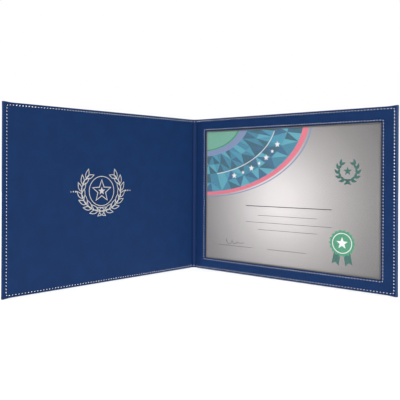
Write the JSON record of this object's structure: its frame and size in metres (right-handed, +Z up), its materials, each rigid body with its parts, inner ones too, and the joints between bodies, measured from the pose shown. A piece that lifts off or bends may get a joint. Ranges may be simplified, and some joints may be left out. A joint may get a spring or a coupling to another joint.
{
  "type": "certificate holder",
  "caption": "Folding leatherette certificate holder: a plain front cover, a creased spine, and a back cover whose stitched frame holds a sheet behind a clear window.",
  "frame": {"origin": "middle of the holder's footprint, on the surface that it stands on", "axes": "+X from the front cover to the back cover, +Y from the open side of the V towards the spine, +Z up"},
  "size_m": [0.4694, 0.203, 0.229],
  "materials": {
    "leatherette": "navy leatherette with a fine grain, satin",
    "lining": "navy leatherette lining with a fine grain, satin",
    "board": "grey binder's board, matte",
    "pocket_lining": "thin dark lining cloth, matte",
    "frame_card": "thin card, matte",
    "certificate": "printed silver-grey paper, satin",
    "clear_window": "clear film, glossy",
    "thread": "silver-grey sewing thread, satin"
  },
  "bodies": {
    "back_cover": {"back_cover_skin": "leatherette", "back_cover_board": "board", "pocket_lining": "pocket_lining", "clear_window": "clear_window", "window_backing": "frame_card", "window_frame": "leatherette", "window_thread": "thread", "back_inner_thread": "thread", "back_outer_thread": "thread"},
    "spine": {"spine_skin": "leatherette", "spine_strip": "board", "spine_lining": "lining", "spine_head_inner_thread": "thread", "spine_head_outer_thread": "thread", "spine_tail_inner_thread": "thread", "spine_tail_outer_thread": "thread"},
    "front_cover": {"front_cover_skin": "leatherette", "front_cover_board": "board", "front_lining": "lining", "front_inner_thread": "thread", "front_outer_thread": "thread"},
    "certificate": {"certificate": "certificate"}
  },
  "joints": [
    {"name": "back_crease", "type": "hinge", "parent": "back_cover", "child": "spine", "pos_m": [0.00355, 0.10055, 0], "axis": [0, 0, 1], "range_deg": [-40.8, 49.2]},
    {"name": "front_crease", "type": "hinge", "parent": "spine", "child": "front_cover", "pos_m": [-0.00355, 0.10055, 0], "axis": [0, 0, 1], "range_deg": [-40.8, 49.2]},
    {"name": "certificate_slide", "type": "slide", "parent": "back_cover", "child": "certificate", "axis": [-0.757, 0.6534, 0], "range_m": [-0.0053, 0.012]}
  ]
}
